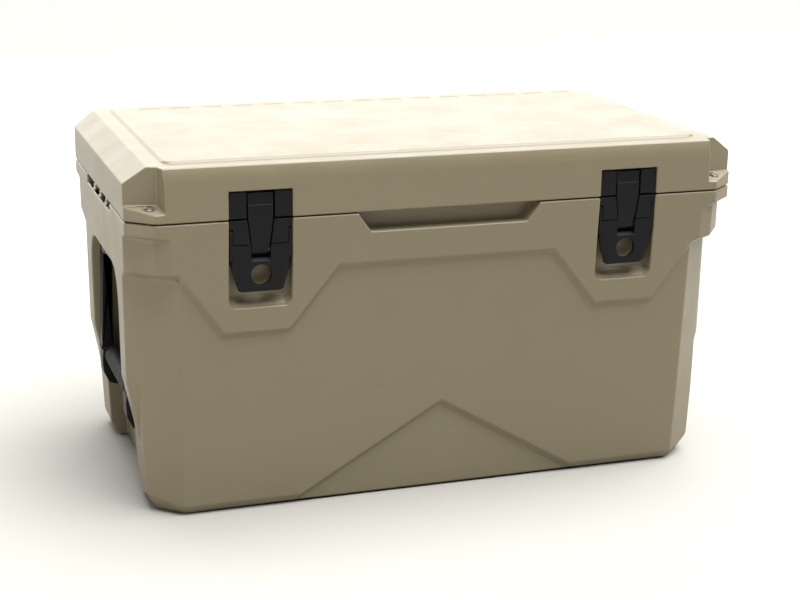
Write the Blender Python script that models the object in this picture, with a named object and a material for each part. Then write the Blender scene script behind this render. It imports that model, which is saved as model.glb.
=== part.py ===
"""Hard cooler chest: double-walled moulded body and lid, two draw latches, two swinging handles, a drain.

Frame: metres, +Z up, front towards -Y, left end towards -X. The origin is on the floor, under the
middle of the chest. Heights of the body and lid are given down and up from the parting line.
"""
import math

import bmesh
import bpy
from mathutils import Vector

# ---------------------------------------------------------------- driving dimensions (metres)
LENGTH = 0.780            # over the rim, end to end
WIDTH = 0.442             # over the rim, front to back
BODY_HEIGHT = 0.3706      # underside of the body to the parting line
LID_HEIGHT = 0.0635       # parting line to the lid's rim
PANEL_RISE = 0.0025       # raised middle of the lid
FOOT_PROUD = 0.0015       # rubber feet below the body
PARTING_GAP = 0.0016      # lid rim to body rim

FIT = 0.0003              # gap left between pieces that touch
SKIN = 0.004              # moulded skin thickness
FRONT_DRAFT = 0.062       # lean of the front and back faces, metres per metre
APRON_STEP = 0.005        # raised front above the main face

# rim and corners of the body
LIP_DEPTH = 0.016
EAR_TOP = 0.021
EAR_BOTTOM = 0.062
CORNER_X = 0.032          # rim corner, along the length
CORNER_Y = 0.027          # rim corner, along the width
FRONT_EDGE_X = 0.060      # end of the flat front face, in from the rim's end
PILLAR_Y = 0.145          # half spread of the end pillars' outer faces

# tub
END_WALL = 0.072
SIDE_WALL = 0.053
FLOOR_THICK = 0.050
TUB_DRAFT_X = 0.012
TUB_DRAFT_Y = 0.022
TUB_CORNER = 0.030

# apron under each latch, chevron and finger recess
APRON_DEPTH = 0.138
BAND_DEPTH = 0.066
APRON_OUTER_TOP = 0.332
APRON_OUTER_LOW = 0.278
APRON_INNER_LOW = 0.200
APRON_INNER_TOP = 0.139
CHEVRON_PEAK = 0.252
CHEVRON_HALF = 0.198
CHEVRON_STEP = 0.005
FINGER_HALF = 0.115
FINGER_HALF_LOW = 0.100
FINGER_DEPTH = 0.024
FINGER_SET_IN = 0.020

# latches
LATCH_X = 0.235           # centre of each latch from the middle
LATCH_HALF = 0.038        # half width of its pocket
POCKET_SET_IN = 0.022
POCKET_DROP = 0.1075
POCKET_RISE = 0.034
POCKET_WALL = 0.012
LATCH_CLEAR = 0.0004
LEVER_PIVOT = (0.0065, -0.016)     # set in from the front, height from the parting line
LINK_PIVOT = (0.0100, -0.039)
PIN_RADIUS = 0.0022
SCREW_RADIUS = 0.0020
SCREW_HEAD = 0.0038
SCREW_LENGTH = 0.0145

# handles
RECESS_X = 0.044          # end recess, in from the rim's end
RECESS_TOP = 0.0775
RECESS_HALF = 0.108       # half spread of the channel's upright sides
HANDLE_X = 0.0215         # pivot, in from the rim's end
HANDLE_DROP = 0.100       # pivot below the parting line
HANDLE_LENGTH = 0.146     # pivot to the grip's axis
ARM_INNER = 0.083
ARM_OUTER = 0.0935
ARM_SPREAD = 0.0085       # how far an arm widens from its pivot down to its corner
BOLT_START = 0.090        # where a bolt's hole starts, from the middle
BOSS_RADIUS = 0.0080
SPACER = 0.0021           # length of the washer between an arm and its seat
BOLT_RADIUS = 0.0040
BOLT_REACH = 0.016        # bolt into the pillar

# hinge
HINGE_SET_IN = 0.0075     # axis in from the rim's back edge: the knuckles are flush with it
HINGE_X = 0.215
KNUCKLE_RADIUS = 0.0075
KNUCKLE_POCKET = 0.0083
KNUCKLE_LENGTH = 0.020
LID_KNUCKLE = 0.048
ROD_RADIUS = 0.003

# drain
DRAIN_RISE = 0.011        # drain axis above the tub floor
DRAIN_BORE = 0.009
SLEEVE_RADIUS = 0.014
FLANGE_RADIUS = 0.020
FLANGE_THICK = 0.003

# lid
LID_BEVEL = 0.044
LID_SLOPE_X = 0.027
LID_SLOPE_Y = 0.007
PLUG_DEPTH = 0.014
PLUG_CLEAR = 0.006
GASKET_WIDTH = 0.012
GASKET_GROOVE = 0.005
LEDGE_HEIGHT = 0.019      # padlock ledge above the parting line, at its inner corner
LOCK_RADIUS = 0.0036
LOCK_TUBE = 0.0046
LOCK_FLANGE = 0.0055
LOCK_REACH = 0.0185       # depth of the hole in the body, through the rim's lip
BAR_COUNT = 15            # sunk bars along the back of the raised middle
BAR_ROW = 0.325           # half length of their row
BAR_FRONT = 0.118
BAR_BACK = 0.178
BAR_SLANT = 0.012
BAR_SUNK = 0.0008

# feet and fill plugs
FOOT_RADIUS = 0.0175
FOOT_SEAT = 0.003
FOOT_X = 0.300
FOOT_Y = 0.135
FILL_RADIUS = 0.013

SIDES = {"left": -1, "right": 1}
ROUND = 24                # sides of the round pieces

# ---------------------------------------------------------------- derived positions
HALF_L = LENGTH / 2
HALF_W = WIDTH / 2
PARTING = FOOT_PROUD + BODY_HEIGHT
RIM = PARTING - PARTING_GAP / 2
LID_UNDER = PARTING + PARTING_GAP / 2
LID_TOP = PARTING + LID_HEIGHT
FRONT = -HALF_W
TUB_FLOOR = FOOT_PROUD + FLOOR_THICK
HINGE_Y = HALF_W - HINGE_SET_IN
PIVOT_X = HALF_L - HANDLE_X
PIVOT_Z = PARTING - HANDLE_DROP
SPACER_START = ARM_OUTER + 3 * FIT
DRAIN_Z = TUB_FLOOR + DRAIN_RISE
LOCK_X = HALF_L - 0.0285
LOCK_Y = HALF_W - 0.0160

FINISHES = {
    "moulded_tan": ((0.262, 0.218, 0.148), 0.48, 0.0),
    "foam": ((0.720, 0.600, 0.330), 0.95, 0.0),
    "black_nylon": ((0.012, 0.012, 0.013), 0.42, 0.0),
    "rubber": ((0.020, 0.020, 0.020), 0.85, 0.0),
    "gasket": ((0.055, 0.055, 0.055), 0.80, 0.0),
    "stainless": ((0.620, 0.610, 0.590), 0.28, 1.0),
}


# ---------------------------------------------------------------- modelling helpers
def finish(name):
    """The material of a finish, made the first time it is asked for."""
    if name in bpy.data.materials:
        return bpy.data.materials[name]
    colour, roughness, metallic = FINISHES[name]
    material = bpy.data.materials.new(name)
    material.use_nodes = True
    shader = material.node_tree.nodes["Principled BSDF"]
    shader.inputs["Base Color"].default_value = (*colour, 1.0)
    shader.inputs["Roughness"].default_value = roughness
    shader.inputs["Metallic"].default_value = metallic
    return material


def piece(name, mesh, finish_name=None):
    """An object of a mesh, in the scene, with its finish."""
    made = bpy.data.objects.new(name, mesh)
    bpy.context.scene.collection.objects.link(made)
    if finish_name:
        mesh.materials.clear()
        mesh.materials.append(finish(finish_name))
        mesh.shade_smooth()
        mesh.set_sharp_from_angle(angle=math.radians(30))
    return made


def loft(rings, name="shape"):
    """A closed solid through rings of points, each ring with the same number of points."""
    shape = bmesh.new()
    rows = [[shape.verts.new(point) for point in ring] for ring in rings]
    count = len(rows[0])
    for low, high in zip(rows, rows[1:]):
        for i in range(count):
            j = (i + 1) % count
            side = shape.faces.new((low[i], low[j], high[j], high[i]))
            corner = [vert.co for vert in side.verts]
            normal = (corner[1] - corner[0]).cross(corner[2] - corner[0])
            if abs(normal.normalized().dot(corner[3] - corner[0])) > 1e-6:
                bmesh.ops.triangulate(shape, faces=[side])
    shape.faces.new(reversed(rows[0]))
    shape.faces.new(rows[-1])
    bmesh.ops.recalc_face_normals(shape, faces=shape.faces)
    mesh = bpy.data.meshes.new(name)
    shape.to_mesh(mesh)
    shape.free()
    return mesh


def spread(outline, axis, at):
    """The points of a flat outline, stood square to an axis at a distance along it."""
    if axis == "X":
        return [(at, a, b) for a, b in outline]
    if axis == "Y":
        return [(a, at, b) for a, b in outline]
    return [(a, b, at) for a, b in outline]


def prism(outline, axis, start, end):
    """An outline run along an axis."""
    return loft([spread(outline, axis, start), spread(outline, axis, end)])


def taper(first, last, axis, start, end):
    """A solid from one outline to another along an axis."""
    return loft([spread(first, axis, start), spread(last, axis, end)])


def circle(centre, radius, sides=ROUND):
    """The corners of a regular polygon around a centre."""
    turn = 2 * math.pi / sides
    return [
        (centre[0] + radius * math.cos(turn * i), centre[1] + radius * math.sin(turn * i))
        for i in range(sides)
    ]


def rod(axis, centre, radius, start, end, sides=ROUND):
    """A round bar along an axis, centred on the other two coordinates."""
    return prism(circle(centre, radius, sides), axis, start, end)


def box(low, high):
    """A block between two corners."""
    outline = [(low[0], low[1]), (high[0], low[1]), (high[0], high[1]), (low[0], high[1])]
    return prism(outline, "Z", low[2], high[2])


def combine(base, mesh, operation):
    """Join a mesh to a piece, cut it away, or keep only what both share."""
    tool = piece("tool", mesh)
    step = base.modifiers.new("step", "BOOLEAN")
    step.operation = operation
    step.solver = "EXACT"
    step.object = tool
    graph = bpy.context.evaluated_depsgraph_get()
    result = bpy.data.meshes.new_from_object(base.evaluated_get(graph))
    base.modifiers.remove(step)
    worn = base.data
    base.data = result
    bpy.data.objects.remove(tool)
    bpy.data.meshes.remove(worn)


def join(base, mesh):
    combine(base, mesh, "UNION")


def cut(base, mesh):
    combine(base, mesh, "DIFFERENCE")


def keep(base, mesh):
    combine(base, mesh, "INTERSECT")


def build(name, finish_name, solid, joins=(), cuts=()):
    """A named piece from one solid, what is joined to it, and then what is cut from it."""
    made = piece(name, solid)
    for mesh in joins:
        join(made, mesh)
    for mesh in cuts:
        cut(made, mesh)
    mesh = made.data
    bpy.data.objects.remove(made)
    return piece(name, mesh, finish_name)


def hang(pieces, axle_name, origin, parent=None):
    """Parent pieces to an empty on their joint's axis, with their own origins there too."""
    axle = bpy.data.objects.new(axle_name, None)
    bpy.context.scene.collection.objects.link(axle)
    axle.location = origin
    if parent:
        axle.parent = parent
        axle.location = Vector(origin) - parent.matrix_world.translation
    bpy.context.view_layer.update()
    for made in pieces:
        for vert in made.data.vertices:
            vert.co -= Vector(origin)
        made.parent = axle
    return axle


def full_ring(quadrant):
    """Twelve points round the chest from the three of one corner, end face first."""
    first = list(quadrant)
    second = [(-x, y, z) for x, y, z in reversed(quadrant)]
    third = [(-x, -y, z) for x, y, z in quadrant]
    fourth = [(x, -y, z) for x, y, z in reversed(quadrant)]
    return first + second + third + fourth


def apron_y(depth):
    """Half depth of the raised front at a depth below the parting line."""
    return HALF_W - FRONT_DRAFT * depth


def face_y(depth):
    """Half depth of the main front face at a depth below the parting line."""
    return apron_y(depth) - APRON_STEP


# ---------------------------------------------------------------- body
def body_rings():
    """The body's outline from its underside up to the rim."""
    low = BODY_HEIGHT
    corners = [
        [(0.032, PILLAR_Y - 0.005, low), (0.034, PILLAR_Y + 0.015, low),
         (FRONT_EDGE_X + 0.006, face_y(low) - 0.006, low)],
        [(0.0215, PILLAR_Y, low - 0.021), (0.022, PILLAR_Y + 0.020, low - 0.021),
         (FRONT_EDGE_X + 0.001, face_y(low - 0.010), low - 0.010)],
        [(0.0187, PILLAR_Y, 0.278), (0.019, PILLAR_Y + 0.020, 0.278), (FRONT_EDGE_X, face_y(0.278), 0.278)],
        [(0.0045, PILLAR_Y, 0.210), (0.0185, PILLAR_Y + 0.020, 0.210),
         (FRONT_EDGE_X, face_y(0.210), 0.210)],
        [(0.0035, PILLAR_Y, EAR_BOTTOM + 0.014), (0.018, PILLAR_Y + 0.020, EAR_BOTTOM + 0.012),
         (FRONT_EDGE_X, face_y(EAR_BOTTOM + 0.007), EAR_BOTTOM + 0.007)],
        [(0.0015, HALF_W - 0.049, EAR_BOTTOM), (0.030, HALF_W - 0.0125, EAR_BOTTOM),
         (0.050, apron_y(EAR_BOTTOM), EAR_BOTTOM)],
        [(0.001, HALF_W - 0.049, EAR_TOP), (0.030, HALF_W - 0.010, EAR_TOP),
         (0.050, apron_y(EAR_TOP), EAR_TOP)],
        [(0.0, HALF_W - CORNER_Y, LIP_DEPTH), (CORNER_X / 2, HALF_W - CORNER_Y / 2, LIP_DEPTH),
         (CORNER_X, apron_y(LIP_DEPTH), LIP_DEPTH)],
        [(0.0, HALF_W - CORNER_Y, PARTING_GAP / 2),
         (CORNER_X / 2, HALF_W - CORNER_Y / 2, PARTING_GAP / 2), (CORNER_X, HALF_W, PARTING_GAP / 2)],
    ]
    rings = [[(HALF_L - x, y, PARTING - depth) for x, y, depth in corner] for corner in corners]
    return [full_ring(ring) for ring in rings]


def tub(grow=0.0, top=None):
    """The tub's inside, or the same grown outwards, from its floor to above the rim."""
    top = RIM + 0.010 if top is None else top
    rings = []
    for share, height in ((1.0, TUB_FLOOR - grow), (0.0, top)):
        half_x = HALF_L - END_WALL - TUB_DRAFT_X * share + grow
        half_y = HALF_W - SIDE_WALL - TUB_DRAFT_Y * share + grow
        corner = TUB_CORNER
        quadrant = [
            (half_x, half_y - corner, height),
            (half_x - corner * 0.29, half_y - corner * 0.29, height),
            (half_x - corner, half_y, height),
        ]
        rings.append(full_ring(quadrant))
    return loft(rings)


def end_recess(side, grow=0.0):
    """The open channel in an end of the body that holds a handle, or the same grown."""
    half = [
        (RECESS_HALF - 0.038, RECESS_TOP), (RECESS_HALF - 0.020, RECESS_TOP + 0.0045),
        (RECESS_HALF - 0.010, RECESS_TOP + 0.0145), (RECESS_HALF - 0.003, RECESS_TOP + 0.0285),
        (RECESS_HALF, RECESS_TOP + 0.0485), (RECESS_HALF, BODY_HEIGHT + 0.020),
    ]
    right = [(y + grow, PARTING - depth + grow) for y, depth in half]
    outer = right + [(-y, z) for y, z in reversed(right)]
    inner = [(y - math.copysign(0.004, y), z - 0.004) for y, z in outer]
    reach = HALF_L - RECESS_X - grow
    return taper(inner, outer, "X", side * reach, side * (HALF_L + 0.010))


def latch_pocket(side, grow=0.0):
    """The pocket that a latch sits in, below the parting line."""
    reach = LATCH_HALF + grow
    corner = 0.006
    outline = [
        (-reach, RIM + 0.010), (-reach, PARTING - POCKET_DROP + corner - grow),
        (-reach + corner, PARTING - POCKET_DROP - grow), (reach - corner, PARTING - POCKET_DROP - grow),
        (reach, PARTING - POCKET_DROP + corner - grow), (reach, RIM + 0.010),
    ]
    outline = [(side * LATCH_X + x, z) for x, z in outline]
    back = FRONT + POCKET_SET_IN + grow
    sloped = [(x, max(z, PARTING - POCKET_DROP + 0.010 - grow)) for x, z in outline]
    return loft([
        spread(outline, "Y", FRONT - 0.010),
        spread(outline, "Y", back - 0.012),
        spread([(x, z + 1e-5 * i) for i, (x, z) in enumerate(sloped)], "Y", back),
    ])


def lid_pocket(side, grow=0.0):
    """The pocket above the parting line, for a latch's keeper."""
    low = (side * LATCH_X - LATCH_HALF - grow, FRONT - 0.010, LID_UNDER - 0.010)
    high = (side * LATCH_X + LATCH_HALF + grow, FRONT + POCKET_SET_IN + grow, PARTING + POCKET_RISE + grow)
    return box(low, high)


def finger_recess(grow=0.0):
    """The finger hold in the middle of the body's front top edge."""
    outline = [
        (-FINGER_HALF - grow, RIM + 0.010), (-FINGER_HALF - grow, RIM - 0.003),
        (-FINGER_HALF_LOW - grow, PARTING - FINGER_DEPTH - grow),
        (FINGER_HALF_LOW + grow, PARTING - FINGER_DEPTH - grow),
        (FINGER_HALF + grow, RIM - 0.003), (FINGER_HALF + grow, RIM + 0.010),
    ]
    return prism(outline, "Y", FRONT - 0.010, FRONT + FINGER_SET_IN + grow)


def end_grip(side, grow=0.0):
    """The ribbed finger hold under the lid's rim at an end."""
    low = (side * (HALF_L - 0.014 - grow), -0.088 - grow, PARTING - 0.011 - grow)
    high = (side * (HALF_L + 0.010), 0.088 + grow, RIM + 0.010)
    corners = sorted((low[0], high[0]))
    return box((corners[0], low[1], low[2]), (corners[1], high[1], high[2]))


def latch_apron(side):
    """The raised shield round a latch pocket, with sloped edges."""
    run = APRON_STEP
    outline = [
        (APRON_OUTER_TOP, EAR_BOTTOM), (APRON_OUTER_LOW, APRON_DEPTH),
        (APRON_INNER_LOW, APRON_DEPTH), (APRON_INNER_TOP, EAR_BOTTOM),
    ]
    wide = [
        (APRON_OUTER_TOP + 1.2 * run, EAR_BOTTOM), (APRON_OUTER_LOW + 0.6 * run, APRON_DEPTH + run),
        (APRON_INNER_LOW - 0.6 * run, APRON_DEPTH + run), (APRON_INNER_TOP - 1.2 * run, EAR_BOTTOM),
    ]
    front = [(side * x, -apron_y(depth), PARTING - depth) for x, depth in outline]
    root = [(side * x, 0.0005 - face_y(depth), PARTING - depth) for x, depth in wide]
    inside = [(x, y + 0.012, z) for x, y, z in root]
    return loft([inside, root, front])


def chevron():
    """What is cut away under the peaked line of the front face."""
    low = BODY_HEIGHT + 0.010
    rise = BODY_HEIGHT - CHEVRON_PEAK
    edge = math.hypot(rise, CHEVRON_HALF)
    run = 0.004
    reach = CHEVRON_HALF / rise * (low - CHEVRON_PEAK)
    mouth_line = [(-reach, low), (0.0, CHEVRON_PEAK), (reach, low)]
    reach -= run * edge / rise
    deep_line = [(-reach, low), (0.0, CHEVRON_PEAK + run * edge / CHEVRON_HALF), (reach, low)]
    bottom = [(x, CHEVRON_STEP - face_y(depth), PARTING - depth) for x, depth in deep_line]
    mouth = [(x, -0.0002 - face_y(depth), PARTING - depth) for x, depth in mouth_line]
    outside = [(x, y - 0.020, z) for x, y, z in mouth]
    return loft([bottom, mouth, outside])


def foam_rings(skin):
    """The outline of the space between the body's skins, set in by the skin."""
    inset_y = skin + CHEVRON_STEP
    low = BODY_HEIGHT - FOOT_SEAT - 2 * skin
    corners = [
        [(0.036, PILLAR_Y - 0.010, low), (0.038, PILLAR_Y + 0.010, low),
         (FRONT_EDGE_X + 0.010, face_y(low) - 0.006, low)],
        [(0.0215, PILLAR_Y, 0.335), (0.022, PILLAR_Y + 0.020, 0.335), (FRONT_EDGE_X, face_y(0.335), 0.335)],
        [(0.0187, PILLAR_Y, 0.278), (0.019, PILLAR_Y + 0.020, 0.278), (FRONT_EDGE_X, face_y(0.278), 0.278)],
        [(0.0055, PILLAR_Y, 0.205), (0.0185, PILLAR_Y + 0.020, 0.205),
         (FRONT_EDGE_X, face_y(0.205), 0.205)],
        [(0.0055, PILLAR_Y, 0.009 + skin), (0.018, PILLAR_Y + 0.020, 0.009 + skin),
         (FRONT_EDGE_X, face_y(0.076), 0.009 + skin)],
    ]
    return [
        full_ring([(HALF_L - x - skin, y - inset_y, PARTING - depth) for x, y, depth in corner])
        for corner in corners
    ]


def foam_space(name, skin, finish_name=None):
    """The foam between the skins. With a thinner skin it is the space that the foam fills."""
    spare = SKIN - skin
    cuts = [tub(grow=skin)]
    cuts += [end_recess(side, grow=skin) for side in SIDES.values()]
    cuts += [latch_pocket(side, grow=POCKET_WALL - spare) for side in SIDES.values()]
    cuts += [finger_recess(grow=skin)]
    cuts += [end_grip(side, grow=skin) for side in SIDES.values()]
    cuts += [rod("X", (0.0, DRAIN_Z), FLANGE_RADIUS + skin, 0.250, HALF_L)]
    for side in SIDES.values():
        for face in (-1, 1):
            span = sorted((face * BOLT_START, face * (RECESS_HALF + BOLT_REACH + skin)))
            cuts.append(rod("Y", (side * PIVOT_X, PIVOT_Z), BOLT_RADIUS + 2 * skin, *span))
    return build(name, finish_name, loft(foam_rings(skin)), cuts=cuts)


def hinge_barrels(owner, radius, spare=0.0):
    """The knuckles of the body or of the lid at both hinges, along their shared axis."""
    barrels = []
    for side in SIDES.values():
        middle = side * HINGE_X
        if owner == "lid":
            spans = [(middle - LID_KNUCKLE / 2 - spare, middle + LID_KNUCKLE / 2 + spare)]
        else:
            near = LID_KNUCKLE / 2 + 2 * LATCH_CLEAR
            far = near + KNUCKLE_LENGTH
            spans = [(middle - far - spare, middle - near + spare),
                     (middle + near - spare, middle + far + spare)]
        barrels += [rod("X", (HINGE_Y, PARTING), radius, start, end) for start, end in spans]
    return barrels


def hinge_bores():
    """The holes for the hinge rods."""
    reach = LID_KNUCKLE / 2 + KNUCKLE_LENGTH + 0.004
    return [
        rod("X", (HINGE_Y, PARTING), ROD_RADIUS + FIT, side * HINGE_X - reach, side * HINGE_X + reach)
        for side in SIDES.values()
    ]


def back_bevel(below):
    """The bevel along the rim's back edge that lets the lid swing and then stops it."""
    rise = -HINGE_SET_IN if below else 1.6 * HINGE_SET_IN
    reach = HINGE_SET_IN + 0.012
    outline = [(HINGE_Y, PARTING), (HINGE_Y + reach, PARTING + rise * reach / HINGE_SET_IN)]
    outline += [(HINGE_Y + reach, PARTING)]
    return prism(outline, "X", -HALF_L - 0.010, HALF_L + 0.010)


def latch_screw_holes(height, offset):
    """Holes for a latch's two screws at a height from the parting line, in both pockets."""
    start = FRONT + POCKET_SET_IN - 0.002
    return [
        rod("Y", (side * LATCH_X + x, PARTING + height), SCREW_RADIUS + FIT, start, start + 0.0125, 12)
        for side in SIDES.values()
        for x in (-offset, offset)
    ]


BASE_SCREW = (-0.046, 0.027)
KEEPER_SCREW = (0.009, 0.010)


def body_shell():
    """The moulded body: outer skin, tub, rim, recesses, and the space for the foam."""
    cavity = foam_space("cavity", SKIN - FIT)
    cavity_mesh = cavity.data
    bpy.data.objects.remove(cavity)
    cuts = hinge_barrels("lid", KNUCKLE_POCKET, spare=LATCH_CLEAR)
    cuts += [chevron(), finger_recess(), tub(), cavity_mesh]
    for side in SIDES.values():
        cuts += [latch_pocket(side), end_recess(side), end_grip(side)]
        cuts.append(rod("Z", (side * LOCK_X, -LOCK_Y), LOCK_TUBE + FIT, PARTING - LOCK_REACH, RIM + 0.01, 16))
        cuts.append(rod("Z", (side * LOCK_X, -LOCK_Y), LOCK_FLANGE + FIT, RIM - 0.0015, RIM + 0.01, 16))
        for face in (-1, 1):
            span = sorted((face * BOLT_START, face * (RECESS_HALF + BOLT_REACH)))
            cuts.append(rod("Y", (side * PIVOT_X, PIVOT_Z), BOLT_RADIUS + FIT, *span, 16))
            seat = sorted((face * 0.080, face * (SPACER_START + SPACER + FIT)))
            cuts.append(rod("Y", (side * PIVOT_X, PIVOT_Z), BOSS_RADIUS + 4 * FIT, *seat))
            seat = (side * FOOT_X, face * FOOT_Y)
            cuts.append(rod("Z", seat, FOOT_RADIUS + FIT, -0.010, FOOT_PROUD + FOOT_SEAT))
    cuts += latch_screw_holes(*BASE_SCREW) + hinge_bores()
    cuts.append(rod("Z", (0.0, 0.0), FILL_RADIUS + FIT, -0.010, FOOT_PROUD + FOOT_SEAT + 2 * SKIN + 0.001))
    cuts.append(rod("X", (0.0, DRAIN_Z), SLEEVE_RADIUS + FIT, 0.290, HALF_L))
    cuts.append(rod("X", (0.0, DRAIN_Z), FLANGE_RADIUS + FIT, 0.280, drain_nut_span()[1] + FIT))
    joins = [latch_apron(side) for side in SIDES.values()]
    shell = build("body_shell", None, loft(body_rings()), joins=joins, cuts=[back_bevel(below=True)])
    for mesh in hinge_barrels("body", KNUCKLE_RADIUS):
        join(shell, mesh)
    for mesh in cuts:
        cut(shell, mesh)
    for side in SIDES.values():
        for place in (-0.045, 0.0, 0.045):
            join(shell, grip_rib(side, place))
    mesh = shell.data
    bpy.data.objects.remove(shell)
    return piece("body_shell", mesh, "moulded_tan")


def grip_rib(side, place):
    """One of the ribs in an end finger hold."""
    ends = sorted((side * (HALF_L - 0.016), side * (HALF_L - 0.003)))
    return box((ends[0], place - 0.007, PARTING - 0.013), (ends[1], place + 0.007, RIM - 0.003))


def feet():
    for side_name, side in SIDES.items():
        for face_name, face in (("front", -1), ("rear", 1)):
            centre = (side * FOOT_X, face * FOOT_Y)
            build(f"foot_{face_name}_{side_name}", "rubber",
                  rod("Z", centre, FOOT_RADIUS, 0.0, FOOT_PROUD + FOOT_SEAT - FIT))


def fill_plug(name, centre, under, head, top):
    """A press-in plug over a foam filling hole, between its outer face and the foam."""
    build(name, "moulded_tan", rod("Z", centre, FILL_RADIUS, min(under, top), max(under, top)),
          cuts=[rod("Z", centre, FILL_RADIUS / 3, *sorted((under - head, under + head)))])


# ---------------------------------------------------------------- drain
def drain_wall():
    """The end wall's outer face in the right recess, and the tub's face, at the drain."""
    share = 1 - DRAIN_RISE / (RIM - TUB_FLOOR)
    return HALF_L - END_WALL - TUB_DRAFT_X * share, HALF_L - RECESS_X


def drain_nut_span():
    """Where the drain's inner nut sits along X, let into the tub's end wall."""
    inner = drain_wall()[0]
    return inner + 0.0005, inner + 0.0005 + FLANGE_THICK


def drain():
    inner, outer = drain_wall()
    nut_start, nut_end = drain_nut_span()
    centre = (0.0, DRAIN_Z)
    seat = outer + FIT + FLANGE_THICK
    build("drain_sleeve", "black_nylon",
          rod("X", centre, SLEEVE_RADIUS, nut_start, outer + 0.001),
          joins=[rod("X", centre, FLANGE_RADIUS, outer + FIT, seat)],
          cuts=[rod("X", centre, DRAIN_BORE, nut_start - 0.01, seat + 0.01)])
    build("drain_nut", "black_nylon",
          rod("X", centre, FLANGE_RADIUS, nut_start, nut_end, 6 * 4),
          cuts=[rod("X", centre, SLEEVE_RADIUS + FIT, nut_start - 0.01, nut_end + 0.01)])
    washer = (seat + FIT, seat + FIT + 0.002)
    seal = build("drain_seal", "rubber",
                 rod("X", centre, 0.0135, *washer),
                 cuts=[rod("X", centre, DRAIN_BORE + 2 * FIT, washer[0] - 0.01, washer[1] + 0.01)])
    cap = washer[1] + FIT
    plug = build("drain_plug", "black_nylon",
                 rod("X", centre, DRAIN_BORE - 2 * FIT, nut_start + 0.002, cap + 0.001),
                 joins=[rod("X", centre, 0.0165, cap, cap + 0.003),
                        box((cap + 0.002, -0.003, DRAIN_Z - 0.0145), (cap + 0.009, 0.003, DRAIN_Z + 0.0145))])
    travel = hang([seal], "drain_travel_axis", (outer, 0.0, DRAIN_Z))
    hang([plug], "drain_plug_axis", (outer, 0.0, DRAIN_Z), parent=travel)


# ---------------------------------------------------------------- lid
def lid_rings():
    """The lid's outline from the parting line to its rim."""
    rows = [
        (PARTING_GAP / 2, 0.0, 0.0, CORNER_X, CORNER_Y),
        (LID_BEVEL, 0.0, 0.0, CORNER_X, CORNER_Y),
        (LID_HEIGHT, LID_SLOPE_X, LID_SLOPE_Y, CORNER_X - 0.019, CORNER_Y - 0.015),
    ]
    rings = []
    for height, in_x, in_y, corner_x, corner_y in rows:
        end, back = HALF_L - in_x, HALF_W - in_y
        rings.append(full_ring([
            (end, back - corner_y, PARTING + height),
            (end - corner_x / 2, back - corner_y / 2, PARTING + height),
            (end - corner_x, back, PARTING + height),
        ]))
    return rings


def rounded(low, high, radius, steps=4):
    """A rectangle with round corners, as points in order."""
    points = []
    centres = [
        (high[0] - radius, high[1] - radius, 0), (low[0] + radius, high[1] - radius, 90),
        (low[0] + radius, low[1] + radius, 180), (high[0] - radius, low[1] + radius, 270),
    ]
    for x, y, start in centres:
        for i in range(steps + 1):
            angle = math.radians(start + 90 * i / steps)
            points.append((x + radius * math.cos(angle), y + radius * math.sin(angle)))
    return points


PANEL_LOW = (-HALF_L + 0.047, FRONT + 0.032)
PANEL_HIGH = (HALF_L - 0.047, HALF_W - 0.021)


def lid_panel():
    """The raised middle of the lid."""
    wide = rounded(PANEL_LOW, PANEL_HIGH, 0.014)
    edge = PANEL_RISE
    narrow = rounded((PANEL_LOW[0] + edge, PANEL_LOW[1] + edge), (PANEL_HIGH[0] - edge, PANEL_HIGH[1] - edge),
                     0.014 - edge)
    return loft([spread(wide, "Z", LID_TOP - 0.003), spread(wide, "Z", LID_TOP),
                 spread(narrow, "Z", LID_TOP + PANEL_RISE)])


def lid_bars():
    """The shallow slanted bars sunk into the back of the raised middle."""
    bars = []
    pitch = 2 * BAR_ROW / BAR_COUNT
    half = 0.3 * pitch
    level = LID_TOP + PANEL_RISE
    for i in range(BAR_COUNT):
        middle = -BAR_ROW + pitch * (i + 0.5)
        rings = []
        for grow, height in ((0.0, level - BAR_SUNK), (0.005, level + BAR_SUNK)):
            front, back = BAR_FRONT - grow, BAR_BACK + grow
            rings.append([
                (middle - half - grow, front, height), (middle + half + grow, front, height),
                (middle + half + grow + BAR_SLANT, back, height),
                (middle - half - grow + BAR_SLANT, back, height),
            ])
        bars.append(loft(rings))
    return bars


def ledge_height(x, y):
    """Height of the padlock ledge above the parting line: it slopes down to the rim's corner."""
    return LEDGE_HEIGHT - 0.106 * (x - HALF_L + 0.038) + 0.354 * (y + HALF_W - 0.021)


def lid_notch(side):
    """The corner cut away above the lid's padlock ledge."""
    outline = [
        (HALF_L - 0.0460, FRONT - 0.010), (HALF_L - 0.0435, FRONT), (HALF_L - 0.038, FRONT + 0.021),
        (HALF_L, FRONT + 0.031), (HALF_L + 0.019, FRONT + 0.036), (HALF_L + 0.019, FRONT - 0.010),
    ]
    low = [(side * x, y, PARTING + ledge_height(x, y)) for x, y in outline]
    high = [(side * x, y, LID_TOP + 0.010) for x, y in outline]
    return loft([low, high])


def lid_plug_ring(height, set_in, grow=0.0):
    """The outline of the lid's underside plug, which drops into the tub."""
    half_x = HALF_L - END_WALL - PLUG_CLEAR - set_in + grow
    half_y = HALF_W - SIDE_WALL - PLUG_CLEAR - set_in + grow
    corner = TUB_CORNER - PLUG_CLEAR
    return full_ring([
        (half_x, half_y - corner, height), (half_x - corner * 0.29, half_y - corner * 0.29, height),
        (half_x - corner, half_y, height),
    ])


def lid_plug(grow=0.0, top=None):
    top = LID_UNDER + 0.004 if top is None else top
    return loft([
        lid_plug_ring(RIM - PLUG_DEPTH - grow, 0.004, grow),
        lid_plug_ring(RIM - PLUG_DEPTH + 0.005 - grow, 0.0, grow),
        lid_plug_ring(top, 0.0, grow),
    ])


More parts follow.
